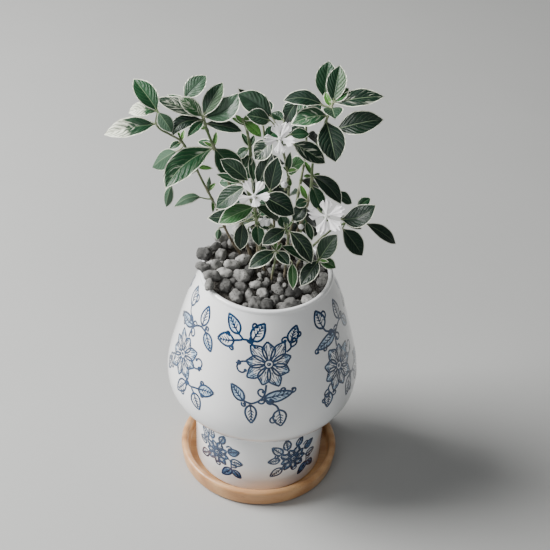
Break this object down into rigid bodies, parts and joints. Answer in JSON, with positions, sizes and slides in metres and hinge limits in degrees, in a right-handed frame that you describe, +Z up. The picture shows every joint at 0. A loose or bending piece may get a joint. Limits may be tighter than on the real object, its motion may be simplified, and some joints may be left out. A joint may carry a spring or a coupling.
{
  "type": "potted serissa",
  "caption": "Small variegated serissa shrub with white star-like blooms, in a glazed egg-shaped pot with floral ornament, topped with pumice gravel, on a round bamboo saucer.",
  "frame": {"origin": "centre of the saucer's underside, on the surface it stands on", "axes": "+Z up; -Y towards the side that the picture shows, +X to its right"},
  "size_m": [0.1316, 0.092, 0.2178],
  "materials": {
    "bamboo": "satin, pale tan, fine straight grain",
    "glazed_ceramic": "glossy white glaze with blue floral ornament",
    "potting_soil": "matte, dark and crumbly",
    "pumice": "matte, grey and porous",
    "serissa_leaf": "semi-gloss dark green leaves with thin cream margins, on brown-green twigs",
    "serissa_bloom": "soft white, faintly lilac"
  },
  "bodies": {
    "root": {"saucer": "bamboo", "pot": "glazed_ceramic", "potting_soil": "potting_soil", "pumice_gravel": "pumice", "bloom_top": "serissa_bloom", "bloom_middle": "serissa_bloom", "bloom_right": "serissa_bloom", "bud_left": "serissa_bloom", "bud_middle": "serissa_bloom", "bud_right": "serissa_bloom", "leafy_stem_left": "serissa_leaf", "leafy_stem_upper_left": "serissa_leaf", "leafy_stem_centre": "serissa_leaf", "leafy_stem_middle": "serissa_leaf", "leafy_stem_top": "serissa_leaf", "leafy_stem_right": "serissa_leaf", "leafy_stem_low_right": "serissa_leaf", "leafy_stem_front_right": "serissa_leaf", "leafy_stem_front_middle": "serissa_leaf", "leafy_shoot_front": "serissa_leaf", "leafy_stem_back_left": "serissa_leaf", "leafy_stem_back_middle": "serissa_leaf", "leafy_stem_back_right": "serissa_leaf", "leafy_shoot_back": "serissa_leaf"}
  },
  "joints": []
}
